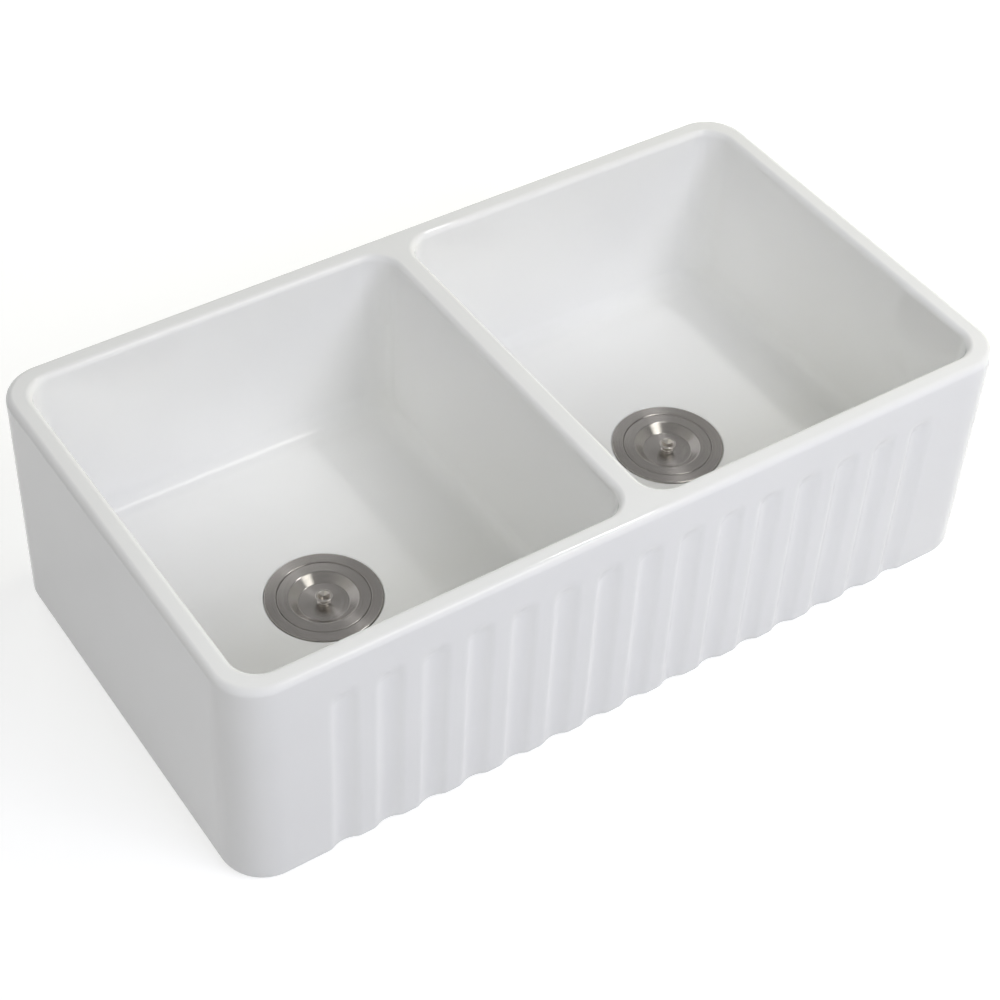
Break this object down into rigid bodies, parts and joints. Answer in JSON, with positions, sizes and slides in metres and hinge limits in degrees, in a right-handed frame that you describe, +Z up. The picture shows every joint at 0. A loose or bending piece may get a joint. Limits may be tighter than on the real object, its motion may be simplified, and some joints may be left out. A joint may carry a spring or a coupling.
{
  "type": "farmhouse apron front sink",
  "caption": "Double-bowl farmhouse kitchen sink with a fluted apron front, rounded rim, and lidded basket strainers in the bowl floors.",
  "frame": {"origin": "centre of the foot's flat underside, the plane the sink stands on in its cabinet", "axes": "+X along the length with the right bowl seen from the front, -Y out of the fluted apron front, +Z up"},
  "size_m": [0.8382, 0.4572, 0.3852],
  "materials": {
    "fireclay": "gloss white glaze",
    "drain_steel": "spun brushed",
    "basket_steel": "brushed",
    "lid_steel": "spun brushed",
    "seal_rubber": "matte",
    "washer_fibre": "matte pressed fibre",
    "locknut_brass": "cast",
    "tube_chrome": "polished"
  },
  "bodies": {
    "sink": {"sink_body": "fireclay", "left_strainer_body": "drain_steel", "left_flange_gasket": "seal_rubber", "left_under_washer": "seal_rubber", "left_friction_washer": "washer_fibre", "left_locknut": "locknut_brass", "left_tail_washer": "seal_rubber", "left_tailpiece": "tube_chrome", "left_slip_nut": "tube_chrome", "right_strainer_body": "drain_steel", "right_flange_gasket": "seal_rubber", "right_under_washer": "seal_rubber", "right_friction_washer": "washer_fibre", "right_locknut": "locknut_brass", "right_tail_washer": "seal_rubber", "right_tailpiece": "tube_chrome", "right_slip_nut": "tube_chrome"},
    "left_basket_unit": {"left_basket": "basket_steel", "left_basket_handle": "basket_steel"},
    "left_lid_unit": {"left_lid": "lid_steel", "left_lid_knob": "lid_steel", "left_lid_seal": "seal_rubber"},
    "right_basket_unit": {"right_basket": "basket_steel", "right_basket_handle": "basket_steel"},
    "right_lid_unit": {"right_lid": "lid_steel", "right_lid_knob": "lid_steel", "right_lid_seal": "seal_rubber"}
  },
  "joints": [
    {"name": "left_basket_lift", "type": "slide", "parent": "sink", "child": "left_basket_unit", "axis": [0, 0, 1], "range_m": [0, 0.27]},
    {"name": "left_lid_lift", "type": "slide", "parent": "left_basket_unit", "child": "left_lid_unit", "axis": [0, 0, 1], "range_m": [0, 0.25]},
    {"name": "right_basket_lift", "type": "slide", "parent": "sink", "child": "right_basket_unit", "axis": [0, 0, 1], "range_m": [0, 0.27]},
    {"name": "right_lid_lift", "type": "slide", "parent": "right_basket_unit", "child": "right_lid_unit", "axis": [0, 0, 1], "range_m": [0, 0.25]}
  ]
}
